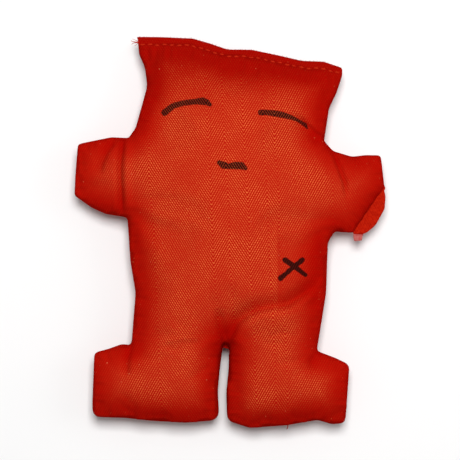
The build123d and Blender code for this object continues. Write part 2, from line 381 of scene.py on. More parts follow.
def filled_height(mesh, held):
    """The height of a film that is held at its edge and pushed up evenly from inside."""
    pairs = np.empty(len(mesh.edges) * 2, dtype=np.int64)
    mesh.edges.foreach_get("vertices", pairs)
    first, second = pairs.reshape(-1, 2).T
    count = len(held)
    neighbours = np.bincount(first, minlength=count) + np.bincount(second, minlength=count)
    film = np.zeros(count)
    for _ in range(FILM_PASSES):
        total = np.bincount(first, film[second], count) + np.bincount(second, film[first], count)
        film = np.where(held, 0, total / neighbours + CELL ** 2 / 4)
    return FULLNESS * np.sqrt(2 * film)


def simulate(obj, held, looseness):
    """Blow the cover up like cloth: held along its seam, looser toward the middle."""
    pins = obj.vertex_groups.new(name="held")
    pins.add(np.nonzero(held)[0].tolist(), 1.0, "REPLACE")
    loose = obj.vertex_groups.new(name="loose")
    steps = 10
    for step in range(steps + 1):
        chosen = np.nonzero(np.round(looseness * steps) == step)[0].tolist()
        loose.add(chosen, step / steps, "REPLACE")
    cloth = obj.modifiers.new("cotton", "CLOTH")
    cloth.collision_settings.use_collision = False
    cotton = cloth.settings
    cotton.quality = 4
    cotton.mass = 0.02
    cotton.bending_stiffness = 0.3
    cotton.air_damping = 2.0
    cotton.vertex_group_mass = pins.name
    cotton.vertex_group_shrink = loose.name
    cotton.shrink_min = -0.010
    cotton.shrink_max = -0.030
    cotton.use_pressure = True
    cotton.uniform_pressure_force = 6.0
    cotton.effector_weights.gravity = 0.0
    cloth.point_cache.frame_start = 1
    cloth.point_cache.frame_end = BLOW_UP_FRAMES
    for number in range(1, BLOW_UP_FRAMES + 1):
        scene.frame_set(number)
    applied(obj)
    scene.frame_set(1)


cover, points = flat_cut("cover", CELL)
plate_half = CELL * PLATE_CELLS / 2
on_edge = np.abs(points[:, 2]) < plate_half - 0.35 * CELL
points[on_edge, :2] = nearest(points[on_edge, :2], outline, True)[3]
closed_flat = points[:, 1] > closing_height(points[:, 0])
held = on_edge | closed_flat
lift = filled_height(cover.data, held)
press = SEAM_HEIGHT / 2 / plate_half
side = np.sign(points[:, 2])
cut_place = points.copy()
cut_place[:, 2] = np.clip(points[:, 2] / plate_half, -1, 1)

shaped = points.copy()
shaped[:, 2] = points[:, 2] * press + side * lift
move_points(cover.data, shaped * MM)
keep(cover.data, "cut", "FLOAT_VECTOR", "vector", cut_place)
simulate(cover, held, np.clip(lift / LOOSE_AT, 0, 1))

finer = cover.modifiers.new("finer", "SUBSURF")
finer.levels = finer.render_levels = 1
cover_mesh = applied(cover)
points = points_of(cover_mesh) / MM
cut = np.empty(len(points) * 3)
cover_mesh.attributes["cut"].data.foreach_get("vector", cut)
cut = cut.reshape(-1, 3)
front = cut[:, 2] > 0
height = points[:, 2]
height *= np.where(front, FRONT_DEPTH / height.max(), -BACK_DEPTH / height.min())
edge_gap, edge_along = nearest(cut[:, :2], outline, True)[:2]


# ---------------------------------------------------------------------------------------------
# Folds pressed into the cover where the doll has been bent and handled.  Each is the line it
# follows on the front, its depth (a ridge is less than 0), and how far it spreads to the left
# and to the right of that line.
# ---------------------------------------------------------------------------------------------
FOLDS = [
    # the root of the right arm: a crease, the roll beside it, and a slanting dent on the arm
    ([(-51.0, 44.5), (-51.9, 30.0), (-51.3, 6.5)], 2.3, 1.2, 1.7),
    ([(-48.6, 43.0), (-48.9, 25.0), (-48.6, 7.5)], -1.0, 1.7, 1.6),
    ([(-55.2, 43.5), (-58.0, 39.0), (-60.6, 33.0), (-61.8, 26.5)], 1.9, 1.4, 3.6),
    # the root of the left arm, and the cheek that rolls over the corner of the neck
    ([(45.5, 43.0), (48.0, 40.1), (50.1, 36.0), (52.5, 28.5), (54.2, 23.7), (55.6, 15.0)],
     2.3, 1.6, 1.1),
    ([(33.0, 54.0), (38.5, 48.7), (45.8, 42.6)], 2.3, 1.4, 4.6),
    # the left hip, where the leg rolls up over the belly
    ([(-1.6, -54.5), (0.6, -48.4), (3.4, -42.6), (8.0, -38.9), (13.8, -35.8), (20.6, -34.6),
      (27.4, -33.9), (34.3, -29.8), (39.8, -25.7), (45.0, -19.0)], 2.9, 5.0, 1.8),
    ([(4.5, -51.0), (9.0, -44.6), (16.0, -40.6), (26.0, -39.2), (35.0, -35.5), (42.0, -29.5)],
     -1.4, 3.0, 6.0),
    # the tuck at the top of the crotch, and the inside of the right leg
    ([(-1.7, -56.0), (-2.6, -50.5), (-4.6, -45.0), (-6.5, -36.0)], 1.8, 1.8, 3.2),
    # where each foot turns out from its leg
    ([(-47.4, -53.6), (-48.8, -60.0), (-49.0, -69.0)], 1.6, 1.4, 2.4),
    ([(42.3, -57.0), (39.5, -61.0), (38.5, -67.0)], 1.5, 3.4, 2.2),
    # a fine pressed line above the right leg, and the edge of the doubled cloth by the cross
    ([(-31.0, -51.8), (-21.5, -50.0), (-10.5, -49.6)], -0.22, 0.6, 0.6),
    ([(22.7, 3.0), (22.6, -16.0), (21.4, -34.0)], -0.40, 0.45, 1.4),
    # a long shallow crease down the middle of the belly, left from folding the cloth
    ([(2.0, 22.0), (2.3, -10.0), (1.2, -46.0)], 0.25, 0.8, 0.8),
    # the left arm falls away to where the allowance is turned out
    ([(74.0, 21.5), (68.5, 14.5), (63.8, 5.5), (59.6, 0.5)], 1.2, 2.4, 2.0),
    # corners of the head, pulled in by the last stitches
    ([(52.0, 77.0), (47.5, 70.0), (44.5, 62.0)], 0.7, 3.0, 2.5),
    ([(-42.6, 88.5), (-37.5, 80.0), (-35.5, 72.0)], 0.9, 2.5, 3.0),
]
FADE = 0.22              # share of a fold's length over which each end dies out
FULL_CREASE = 2.6        # depth of a fold whose bottom gets all of the painted crease shade

crease = np.zeros(len(points))
for line, depth, left, right in FOLDS:
    gap, along, turn = nearest(cut[:, :2], line, False)[:3]
    spread = np.where(turn > 0, left, right)
    share = along / along.max()
    ends = np.clip(np.minimum(share + 0.12, 1 - share) / FADE, 0, 1)
    dent = np.where(front, depth * ends * np.exp(-(gap / spread) ** 2), 0)
    height -= dent
    # How much painted shade each fold bottom gets, from its depth.
    crease = np.maximum(crease, dent / FULL_CREASE)

# Small puckers along the seam, deeper where the thread is tight, and a softer set under the
# closing stitches.  They never quite repeat.
PUCKER_DEPTH = 0.42
PUCKER_REACH = 5.5
RUFFLE_DEPTH = 0.22
CLOSING_PULL = 4.0       # how far under the closing stitches they draw the cloth in most
wave = sum(np.sin(2 * math.pi * edge_along / pitch + offset)
           for pitch, offset in ((4.3, 0.0), (6.9, 1.3), (11.7, 4.0), (2.9, 2.2)))
reach = np.exp(-(edge_gap / PUCKER_REACH) ** 2) * np.clip(edge_gap / 1.2, 0, 1)
pucker = PUCKER_DEPTH * wave / 2.4 * reach * ~(cut[:, 1] > closing_height(cut[:, 0]))
height += np.where(front, pucker, -pucker)

below_closing = closing_height(cut[:, 0]) - cut[:, 1]
pull = np.exp(-((below_closing - CLOSING_PULL) / CLOSING_PULL) ** 2) * (below_closing > 0)
# A band of painted shade under the closing stitches.
crease = np.maximum(crease, pull * 0.45)
ruffle = sum(np.sin(2 * math.pi * cut[:, 0] / pitch + offset)
             for pitch, offset in ((3.5, 0.0), (7.9, 1.0), (5.1, 2.5)))
height += np.where(front, 1, -1) * RUFFLE_DEPTH * ruffle * pull * (edge_gap > 2.0)

# Above the closing stitches the two layers lie flat, wave a little, and part at the raw edge.
LIP_WIDTH = 3.5
lip = np.clip(-below_closing / LIP_WIDTH, 0, 1)
is_lip = below_closing < 0
lip_wave = 0.5 * np.sin(cut[:, 0] / 8.0 + 0.6) + 0.25 * np.sin(cut[:, 0] / 3.1)
height += np.where(is_lip, lip * (lip_wave + np.where(front, 0.25, -0.25)), 0)

# The seam itself is drawn in a little between the two panels.
GROOVE = 0.55
on_seam = (edge_gap < 0.5) & (np.abs(cut[:, 2]) < 0.30)
normals = np.empty(len(points) * 3)
cover_mesh.vertices.foreach_get("normal", normals)
normals = normals.reshape(-1, 3)
points[on_seam, :2] -= normals[on_seam, :2] * GROOVE

# The cover rests on its back, and stands on the surface at height 0.
height += SEAM_Z
height[:] = (height + np.sqrt(height ** 2 + SETTLE ** 2)) / 2
height -= height.min()
move_points(cover_mesh, points * MM)
whole = np.empty(len(points) * 3)
cover_mesh.vertices.foreach_get("normal", whole)
keep(cover_mesh, "whole_normal", "FLOAT_VECTOR", "vector", whole)
keep(cover_mesh, "seam_gap", "FLOAT", "value", np.minimum(edge_gap, np.abs(below_closing)))
keep(cover_mesh, "crease", "FLOAT", "value", crease)
cover_tree = BVHTree.FromObject(cover, bpy.context.evaluated_depsgraph_get())


# ---------------------------------------------------------------------------------------------
# Herringbone cotton twill, dyed red.  Its ribs slant one way in one stripe and the other way
# in the next; the crown is painted lighter and more orange as light, the seams, the creases, the
# head's top and the feet are painted a deeper red as shade, and pale slubs show.
# The eyes, the mouth and the cross are drawn on it in black marker, which leaves red specks.
# ---------------------------------------------------------------------------------------------
STRIPE_TURNS = [-37.0, -8.6, -0.8, 8.4, 17.6, 23.0, 49.0]    # where the slant changes
RIB = 1.00               # from one rib to the next, across the ribs
RIB_SLOPE = math.radians(59)
YARN = 0.52              # from one weft yarn to the next
DOT = 1.04               # from one light dot to the next, up the cloth
# From DEEP_RED to ORANGE_RED the cloth goes from painted shade at the seams and in the creases to
# painted light on the crown.
DEEP_RED = (0.365, 0.0016, 0.0006, 1.0)
RED = (0.41, 0.0065, 0.0022, 1.0)
ORANGE_RED = (0.44, 0.0150, 0.0050, 1.0)
ENDS_SHADE_RED = (0.285, 0.0016, 0.0007, 1.0)    # painted shade at the head's top and the feet
RIB_LIGHT = (0.93, 0.220, 0.056, 1.0)
SLUB = (0.80, 0.20, 0.09, 1.0)
INK = (0.018, 0.0035, 0.003, 1.0)

# Each mark: points on the cut with half the width of the line there.
MARKS = [
    [(-30.9, 56.5, 1.6), (-26.8, 59.4, 1.45), (-22.0, 60.6, 1.4), (-16.4, 61.1, 1.4),
     (-12.8, 61.3, 1.85), (-10.9, 60.7, 1.55), (-9.2, 59.5, 0.9)],
    [(14.5, 55.9, 1.5), (16.6, 56.0, 1.3), (21.2, 55.6, 1.6), (25.2, 55.0, 1.45),
     (29.2, 54.1, 1.05), (32.4, 52.9, 0.80), (35.9, 50.9, 0.95), (36.9, 49.4, 0.45)],
    [(-5.0, 32.3, 1.1), (-3.0, 31.1, 1.8), (-0.8, 30.5, 1.3), (2.3, 30.9, 1.75),
     (5.3, 30.8, 1.8), (7.1, 29.7, 1.1)],
    [(26.2, -13.2, 1.35), (30.9, -16.4, 1.3), (36.1, -20.3, 1.0)],
    [(34.6, -13.3, 1.25), (30.2, -16.6, 1.15), (26.0, -19.9, 1.1), (23.8, -21.6, 1.4)],
]


def inked(finish, place, roughen):
    """1 inside the marker's lines on the front, 0 outside, with a rough edge."""
    nearest_mark = None
    for mark in MARKS:
        for (x1, y1, half1), (x2, y2, half2) in zip(mark, mark[1:]):
            step = (x2 - x1, y2 - y1, 0.0)
            length2 = step[0] ** 2 + step[1] ** 2
            away = finish.vector("SUBTRACT", place, (x1, y1, 0.0))
            share = finish.vector("DOT_PRODUCT", away, step, output=1) / length2
            share = share.math("MINIMUM", 1.0).math("MAXIMUM", 0.0)
            reached = finish.vector("MULTIPLY", finish.combine(share, share, share), step)
            off = finish.vector("SUBTRACT", away, reached)
            gap = finish.vector("LENGTH", off, output=1) - (share * (half2 - half1) + half1)
            nearest_mark = gap if nearest_mark is None else nearest_mark.math("MINIMUM", gap)
    return 1.0 - finish.between(nearest_mark + roughen, -0.22, 0.16)


def twill(name, marked):
    """The cloth's finish; the front panel is marked and the back isn't."""
    finish = Finish(name, 0.82)
    cut_uv = finish.add("ShaderNodeAttribute", {"attribute_name": "cut"}, {}, 1)
    seam_gap = finish.add("ShaderNodeAttribute", {"attribute_name": "seam_gap"}, {}, 2)
    crease = finish.add("ShaderNodeAttribute", {"attribute_name": "crease"}, {}, 2)
    x, y, side = finish.parts(cut_uv)
    flat = finish.combine(x, y, 0.0)

    # The stripes wander a little, because the cloth was cut slightly off its grain.
    across_grain = x + finish.noise(flat, 0.03) * 2.0 + y * 0.05 - 1.5
    zigzag = across_grain * -1.0
    for number, turn in enumerate(STRIPE_TURNS):
        ramp = (across_grain - turn).math("MAXIMUM", 0.0)
        zigzag = zigzag + ramp * (-2.0 if number % 2 else 2.0)
    ribs = (zigzag * math.sin(RIB_SLOPE) + y * math.cos(RIB_SLOPE)) / RIB
    rib = ribs.math("PINGPONG", 0.5) * 2.0
    picks = (y / YARN).math("PINGPONG", 0.5) * 2.0
    ends = (x / (YARN * 1.1)).math("PINGPONG", 0.5) * 2.0
    weave = rib * 0.72 + picks * 0.16 + ends * 0.12

    # How clearly the ribs show changes from place to place, and is least on the worn patch.
    patch = finish.between(x, 21.6, 22.8) * (1.0 - finish.between(x, 42.0, 46.0))
    patch = patch * finish.between(y, -44.0, -26.0) * (1.0 - finish.between(y, -9.0, 10.0))
    clear = finish.between(finish.noise(flat, 0.055), 0.34, 0.62) * 0.55 + 0.45
    clear = clear * finish.between(seam_gap, 5.0, 17.0) * (1.0 - patch * 0.75)
    clear = clear * (1.0 - finish.between(y, 48.0, 76.0) * 0.50)
    clear = clear * (1.0 - finish.between(x.math("ABSOLUTE"), 42.0, 52.0) * 0.60)

    # Painted light and shade: lighter and more orange on the filled crown, darker toward the
    # seams, over the head and in the fold bottoms; the blotches and the worn patch are the
    # cloth's own.
    crown_light_and_shade = finish.between(seam_gap, 1.0, 20.0) - finish.between(y, 46.0, 78.0) * 0.45
    blotch = finish.noise(flat, 0.045, 3.0)
    tone_and_painted_light = crown_light_and_shade * 0.85 + (blotch - 0.5) * 0.5 + 0.10 - patch * 0.25 - crease * 0.28
    colour = finish.mix(finish.between(tone_and_painted_light, -0.05, 0.45), DEEP_RED, RED)
    colour = finish.mix(finish.between(tone_and_painted_light, 0.38, 0.92), colour, ORANGE_RED)
    # Painted shade: the head's top and the feet are darkened.
    ends_shade = finish.between(y, 54.0, 84.0) * 0.80 + finish.between(y * -1.0, 68.0, 90.0) * 0.70
    colour = finish.mix(ends_shade, colour, ENDS_SHADE_RED)
    grain = finish.between(finish.noise(flat, 1.5, 3.0, 0.6), 0.30, 0.66)
    lines = finish.between(rib, 0.40, 0.95)
    dots = finish.between((y / DOT + x * 0.10).math("PINGPONG", 0.5), 0.12, 0.40)
    lighter = lines * (clear * 0.95 + 0.07) * (grain * 0.85 + 0.15) * (dots * 0.75 + 0.25)
    colour = finish.mix(lighter, colour, RIB_LIGHT)
    hollow = (1.0 - finish.between(rib, 0.05, 0.60)) * (clear * 0.88 + 0.12)
    colour = finish.mix(hollow * (1.2 - grain * 0.4), colour, DEEP_RED)
    specks = finish.noise(finish.vector("MULTIPLY", flat, (1.0, 0.8, 1.0)), 0.85, 1.0)
    slubs = finish.between(specks, 0.745, 0.81) * 0.55
    colour = finish.mix(slubs, colour, SLUB)
    # Painted shade: the fold bottoms and the band under the closing stitches go deep red.
    colour = finish.mix(finish.between(crease, 0.1, 1.1) * 0.4, colour, DEEP_RED)
    thinned = finish.noise(flat, 2.3, 2.0)
    if marked:
        roughen = (0.5 - weave) * 0.35 + (thinned - 0.5) * 0.9
        ink = inked(finish, flat, roughen)
        specked = finish.between(rib + thinned * 0.9, 1.00, 1.40)
        specked = specked * (0.12 + finish.between(y, -5.0, 5.0) * 0.30)
        colour = finish.mix(ink * (0.98 - specked), colour, INK)
    finish.set("Base Color", colour)
    finish.set("Roughness", 0.86 - lines * 0.08)
    fuzz = finish.noise(flat, 3.2, 3.0, 0.6)
    finish.bump(weave + fuzz * 0.55 + specks * 0.3, 0.22 * MM, 0.7)
    return finish.material


front_twill = twill("herringbone_twill_front", True)
back_twill = twill("herringbone_twill_back", False)


# ---------------------------------------------------------------------------------------------
# The two panels, front and back, each in six stretches that meet at the fold lines.  A stretch
# ends where the cloth doesn't bend, so that neighbours never part.
# ---------------------------------------------------------------------------------------------
HEAD_FROM = 40.0         # where the head's stretch of cloth begins
LEGS_FROM = -50.5
ARM_FROM = 47.6
ARM_TOP = {"right": 48.0, "left": 41.5}
ARMPIT = {"right": 5.6, "left": -2.6}
LEG_SPLIT_X = -1.7
DRAWN_IN = 1.09          # the flat cut was this much longer and wider, before filling drew it in

# Each stretch: its two bodies, and where the bend between them begins and ends.
STRETCHES = {
    "head": ("torso", "head", (0, 43.0), (0, 63.0)),
    "torso": ("torso", "pelvis", (0, -21.0), (0, -45.0)),
    "right_arm": ("torso", "right_arm", (-49.5, 0), (-60.5, 0)),
    "left_arm": ("torso", "left_arm", (50.5, 0), (61.5, 0)),
    "right_leg": ("pelvis", "right_leg", (0, -54.9), (0, -72.0)),
    "left_leg": ("pelvis", "left_leg", (0, -54.9), (0, -72.0)),
}
CAD_BODIES = {name: ["torso", "pelvis"] if name == "torso" else [name] for name in STRETCHES}


def stretch_at(x, y):
    """Which stretch of the cloth a place on the cut belongs to."""
    if x < -ARM_FROM and ARMPIT["right"] < y < ARM_TOP["right"]:
        return "right_arm"
    if x > ARM_FROM and ARMPIT["left"] < y < ARM_TOP["left"]:
        return "left_arm"
    if y > HEAD_FROM:
        return "head"
    if y > LEGS_FROM:
        return "torso"
    return "left_leg" if x > LEG_SPLIT_X else "right_leg"


def bend(piece):
    """Bake the piece's placement into its mesh."""
    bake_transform(piece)


def flat_area(piece):
    """Area, width and length of the piece's flat cut before it was filled, in metres."""
    shape = bmesh.new()
    shape.from_mesh(piece.data)
    layer = shape.verts.layers.float_vector["cut"]
    for vert in shape.verts:
        vert.co = (vert[layer].x * MM, vert[layer].y * MM, 0)
    area = sum(face.calc_area() for face in shape.faces)
    xs = [vert.co.x for vert in shape.verts]
    ys = [vert.co.y for vert in shape.verts]
    shape.free()
    width, length = (max(xs) - min(xs)) * DRAWN_IN, (max(ys) - min(ys)) * DRAWN_IN
    return area * DRAWN_IN ** 2, width, length


whole_cover = bmesh.new()
whole_cover.from_mesh(cover_mesh)
layer = whole_cover.verts.layers.float_vector["cut"]
for number, name in enumerate(STRETCHES):
    for face in whole_cover.faces:
        places = [vert[layer] for vert in face.verts]
        middle = sum(places, Vector()) / len(places)
        if stretch_at(middle.x, middle.y) == name:
            face.material_index = number * 2 + (1 if middle.z < 0 else 0)


def panel(stretch, is_back):
    """One stretch of one panel, cut out of the whole cover with its shading kept."""
    name = f"{'back' if is_back else 'front'}_cloth_{stretch}"
    shape = whole_cover.copy()
    number = list(STRETCHES).index(stretch) * 2 + (1 if is_back else 0)
    others = [face for face in shape.faces if face.material_index != number]
    bmesh.ops.delete(shape, geom=others, context="FACES")
    for face in shape.faces:
        face.material_index = 0
        face.smooth = True
    piece = new_piece(name, shape, back_twill if is_back else front_twill)
    mesh = piece.data
    shading = np.empty(len(mesh.vertices) * 3)
    mesh.attributes["whole_normal"].data.foreach_get("vector", shading)
    mesh.normals_split_custom_set_from_vertices(shading.reshape(-1, 3).tolist())
    mesh.attributes.remove(mesh.attributes["whole_normal"])
    node = "back_panel" if is_back else "front_panel"
    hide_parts(*[f"{node}_{body}" for body in CAD_BODIES[stretch]])
    return piece


panels = [panel(stretch, is_back) for stretch in STRETCHES for is_back in (False, True)]
whole_cover.free()


# ---------------------------------------------------------------------------------------------
# The filling: loose off-white polyester fibre, pushed in by hand, so it is lumpy.  It fills
# the cover to just under the cloth, one lump of it for each stretch.
# ---------------------------------------------------------------------------------------------
FILL_CELL = 2.2
FILL_GAP = 1.1           # from the cloth to the fibre
FILL_TAKE_IN = 3.0       # how far the fibre stops short of the seam
LUMP = 0.35
PROBE = 1.7              # how far round a spot the cloth's height is felt for
OUTSIDE = 60.0           # a height over the seam that is well outside the cover

fibre = Finish("polyester_fibre", 0.95)
at = fibre.add("ShaderNodeTexCoord", {}, {}, 3)
tangle = fibre.noise(at, 260.0, 5.0, 0.7)
strand = fibre.add("ShaderNodeTexWave", {"wave_type": "BANDS"},
                   {"Vector": at, "Scale": 190.0, "Distortion": 14.0, "Detail": 3.0})
fibre.set("Base Color", fibre.mix(tangle, (0.72, 0.68, 0.62, 1.0), (0.93, 0.90, 0.86, 1.0)))
fibre.bump(strand.math("MULTIPLY", 0.6) + tangle, 0.4 * MM)

columns = np.arange(-75.0, 75.0, FILL_CELL)
rows = np.arange(-94.0, 92.0, FILL_CELL)
spots = np.array([(x, y) for y in rows for x in columns])
spot_gap = nearest(spots, outline, True)[0]
spot_gap = np.minimum(spot_gap, closing_height(spots[:, 0]) - spots[:, 1])
filled = inside_cut(spots) & (spot_gap > FILL_TAKE_IN)


def fibre_height(spot, up):
    """Where the fibre stops on the front (up is 1) or the back (up is -1) at this spot."""
    x, y = spots[spot]
    room = OUTSIDE
    for dx, dy in ((0, 0), (PROBE, 0), (-PROBE, 0), (0, PROBE), (0, -PROBE)):
        start = Vector((x + dx, y + dy, SEAM_Z + OUTSIDE * up)) * MM
        hit = cover_tree.ray_cast(start, Vector((0, 0, -up)))[0]
        room = min(room, (hit.z / MM - SEAM_Z) * up)
    lump = LUMP * (math.sin(x / 3.1 + y / 5.3) + math.sin(y / 2.7 - x / 6.1) - 1.2)
    room = max(room - FILL_GAP + lump, 0.2)
    return SEAM_Z + up * room * min(1.0, 0.5 + (spot_gap[spot] - FILL_TAKE_IN) / 8)


def lump_of_fill(stretch):
    """The fibre of one stretch: a front and a back of even squares, closed all round."""
    shape = bmesh.new()
    corners = {}
    sides = {}
    wide = len(columns)
    for spot in range(len(spots) - wide - 1):
        square = (spot, spot + 1, spot + wide + 1, spot + wide)
        if (spot + 1) % wide == 0 or not all(filled[corner] for corner in square):
            continue
        if stretch_at(*(spots[spot] + FILL_CELL / 2)) != stretch:
            continue
        for up in (1, -1):
            for corner in square:
                if (corner, up) not in corners:
                    place = Vector((*spots[corner], fibre_height(corner, up))) * MM
                    corners[corner, up] = shape.verts.new(place)
            shape.faces.new([corners[corner, up] for corner in square[::up]])
        for pair in zip(square, (*square[1:], square[0])):
            if pair[::-1] in sides:
                del sides[pair[::-1]]
            else:
                sides[pair] = True
    for first, second in sides:
        shape.faces.new([corners[second, 1], corners[first, 1],
                         corners[first, -1], corners[second, -1]])
    for face in shape.faces:
        face.smooth = True
    piece = new_piece(f"filling_{stretch}", shape, fibre.material)
    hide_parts(*[f"stuffing_{body}" for body in CAD_BODIES[stretch]])
    bend(piece)
    return piece


fillings = {stretch: lump_of_fill(stretch) for stretch in STRETCHES}

for piece in panels:
    stretch = piece.name.split("_cloth_")[1]
    area, width, length = flat_area(piece)
    bend(piece)
bpy.data.objects.remove(cover)


# ---------------------------------------------------------------------------------------------
# The outline seam: short even stitches of red cotton thread, which lie in the groove between
# the two panels.  There are none along the raw top edge, which the closing stitches hold.
# ---------------------------------------------------------------------------------------------
STITCH_PITCH = 2.6
STITCH_LENGTH = 2.1
THREAD = 0.42            # thickness of the seam thread
STITCH_SINK = 0.55       # how deep in the groove a stitch's middle lies
THREAD_RED = (0.26, 0.003, 0.002, 1.0)
THREAD_LIGHT = (0.44, 0.020, 0.008, 1.0)


def thread_finish(name, dark, light):
    """Spun cotton: two plies whose twist shows as slanting light and dark."""
    finish = Finish(name, 0.8)
    place = finish.add("ShaderNodeTexCoord", {}, {}, 3)
    twist = finish.add("ShaderNodeTexWave", {"bands_direction": "DIAGONAL"},
                       {"Vector": place, "Scale": 900.0, "Distortion": 1.5, "Detail": 1.0})
    finish.set("Base Color", finish.mix(twist, dark, light))
    finish.bump(twist, 0.08 * MM)
    return finish.material


seam_cotton = thread_finish("seam_thread", THREAD_RED, THREAD_LIGHT)


def add_stitch(shape, middle, along, up, length, width, sink):
    """One stitch: a short fat bar of thread whose ends dip into the cloth by sink."""
    bar = bmesh.ops.create_uvsphere(shape, u_segments=8, v_segments=6, radius=0.5)["verts"]
    across = up.cross(along)
    turn = Matrix((along, across, up)).transposed()
    for vert in bar:
        local = Vector((vert.co.z, vert.co.y, vert.co.x))
        reach = math.copysign(abs(local.x * 2) ** 0.8 / 2, local.x)
        dip = -sink * (2 * reach) ** 2
        local = Vector((reach * length, local.y * width, local.z * width + dip))
        vert.co = (middle + turn @ local) * MM


def thread_piece(name, shape, material):
    bmesh.ops.recalc_face_normals(shape, faces=shape.faces)
    for face in shape.faces:
        face.smooth = True
    piece = new_piece(name, shape, material)
    return piece


seams = {stretch: bmesh.new() for stretch in STRETCHES}
since_stitch = 0.0
for start, end in zip(outline, [*outline[1:], outline[0]]):
    run = end - start
    if run.length < 1e-4:
        continue
    reached = STITCH_PITCH - since_stitch
    while reached <= run.length:
        place = start + run * (reached / run.length)
        if place.y < closing_height(place.x):
            along = Vector((*run.normalized(), 0))
            outward = along.cross(Vector((0, 0, -1)))
            middle = Vector((*place, SEAM_Z)) - outward * STITCH_SINK
            add_stitch(seams[stretch_at(*place)], middle, along, outward,
                       STITCH_LENGTH, THREAD, 0.25)
        reached += STITCH_PITCH
    since_stitch = run.length - (reached - STITCH_PITCH)

for stretch, shape in seams.items():
    seam = thread_piece(f"seam_thread_{stretch}", shape, seam_cotton)
    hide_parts(*[f"outline_seam_{body}" for body in CAD_BODIES[stretch]])
    bend(seam)


# ---------------------------------------------------------------------------------------------
# The closing stitches: a row of hand stitches across the top of the head, front and back, in a
# thicker, lighter thread than the seam's.  Each one dents the cloth that it holds.
# ---------------------------------------------------------------------------------------------
CLOSING_PITCH = 3.5
CLOSING_LENGTH = 2.4
CLOSING_THREAD = 0.95

closing_cotton = thread_finish("closing_thread", (0.38, 0.005, 0.002, 1.0),
                               (0.52, 0.030, 0.009, 1.0))
closing = bmesh.new()
line = [Vector(point) for point in CLOSING_LINE]
length = sum((end - start).length for start, end in zip(line, line[1:]))
count = int(length / CLOSING_PITCH)
for number in range(count):
    left_to_go = (number + 0.5) / count * length
    for start, end in zip(line, line[1:]):
        run = end - start
        if left_to_go <= run.length:
            break
        left_to_go -= run.length
    place = start + run * (left_to_go / run.length)
    wobble = 0.25 * math.sin(number * 2.4)
    along = Vector((run.x, run.y + run.length * 0.10 * math.sin(number * 1.7), 0)).normalized()
    for up in (1, -1):
        ray_start = Vector((place.x, place.y + wobble, SEAM_Z + up * OUTSIDE)) * MM
        hit = cover_tree.ray_cast(ray_start, Vector((0, 0, -up)))[0]
        level = hit.z / MM if hit else SEAM_Z
        middle = Vector((place.x, place.y + wobble, level + up * 0.18))
        add_stitch(closing, middle, along, Vector((0, 0, up)), CLOSING_LENGTH,
                   CLOSING_THREAD, 0.30)
closing_row = thread_piece("closing_stitch_row", closing, closing_cotton)
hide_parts("closing_stitches")
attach(closing_row, "head")


# ---------------------------------------------------------------------------------------------
# Loose yarn: the frayed ends at the head's right top corner, the short fringe that the raw top
# edge has shed, and the thread end under the left foot.
# ---------------------------------------------------------------------------------------------
YARN_SIDES = 6


def add_yarn(shape, path, radius):
    """A yarn along a few points, thinning to its tip."""
    ring = None
    for number, point in enumerate(path):
        ahead = path[min(number + 1, len(path) - 1)] - path[max(number - 1, 0)]
        turn = ahead.to_track_quat("Z", "Y").to_matrix().to_4x4()
        width = radius * (1.0 - 0.45 * number / (len(path) - 1))
        made = bmesh.ops.create_circle(shape, segments=YARN_SIDES, radius=width,
                                       cap_ends=number in (0, len(path) - 1))["verts"]
        bmesh.ops.transform(shape, matrix=Matrix.Translation(point) @ turn, verts=made)
        edges = list({edge for vert in made for edge in vert.link_edges})
        if ring:
            bmesh.ops.bridge_loops(shape, edges=ring + edges)
        ring = edges


def curl(start, end, bow, steps=6):
    """Points from start to end that bow sideways and wave a little."""
    run = end - start
    sideways = Vector((-run.y, run.x, 0.3 * run.length)).normalized()
    path = []
    for step in range(steps + 1):
        t = step / steps
        offset = bow * math.sin(math.pi * t) + 0.3 * bow * math.sin(3 * math.pi * t)
        path.append(start + run * t + sideways * offset)
    return path


def yarn_piece(name, shape, material):
    bmesh.ops.scale(shape, verts=shape.verts, vec=(MM, MM, MM))
    return thread_piece(name, shape, material)


frayed = bmesh.new()
root = Vector((-43.9, 91.2, SEAM_Z + 0.2))
for tip, bow, radius in (((-47.5, 91.9, 16.5), 0.35, 0.22), ((-47.2, 90.1, 15.9), -0.40, 0.20),
                         ((-46.1, 90.9, 16.3), 0.20, 0.24), ((-46.9, 92.6, 16.9), -0.30, 0.14),
                         ((-45.9, 89.4, 15.6), 0.30, 0.14)):
    add_yarn(frayed, curl(root, Vector(tip), bow), radius)
frayed_piece = yarn_piece("frayed_corner_yarns", frayed, closing_cotton)
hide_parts("frayed_corner_threads")
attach(frayed_piece, "head")

FRINGE_PITCH = 0.95
fringe = bmesh.new()
top_edge = [point for point in outline if point.y > closing_height(point.x) + 1.5]
number = 0
for start, end in zip(top_edge, top_edge[1:]):
    run = end - start
    reached = (number * FRINGE_PITCH) % 0.3
    while reached < run.length and run.length > 1e-4:
        place = start + run * (reached / run.length)
        hair = 0.10 + 0.35 * abs(math.sin(number * 1.9)) * abs(math.sin(number * 0.37))
        lean = 0.35 * math.sin(number * 2.7)
        level = SEAM_Z + (0.55 if number % 2 else -0.45)
        foot = Vector((place.x, place.y - 0.5, level))
        tip = Vector((place.x + lean, place.y + hair, level + 0.2 * math.sin(number * 4.1)))
        add_yarn(fringe, curl(foot, tip, 0.08, 3), 0.13)
        number += 1
        reached += FRINGE_PITCH
fringe_piece = yarn_piece("raw_edge_fringe", fringe, seam_cotton)
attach(fringe_piece, "head")

foot_thread = bmesh.new()
add_yarn(foot_thread, curl(Vector((27.8, -89.0, SEAM_Z + 1.9)), Vector((27.3, -94.6, SEAM_Z)),
                           0.35), 0.36)
foot_thread_piece = yarn_piece("foot_thread_tail", foot_thread, seam_cotton)
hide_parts("foot_thread_end")
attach(foot_thread_piece, "left_leg")


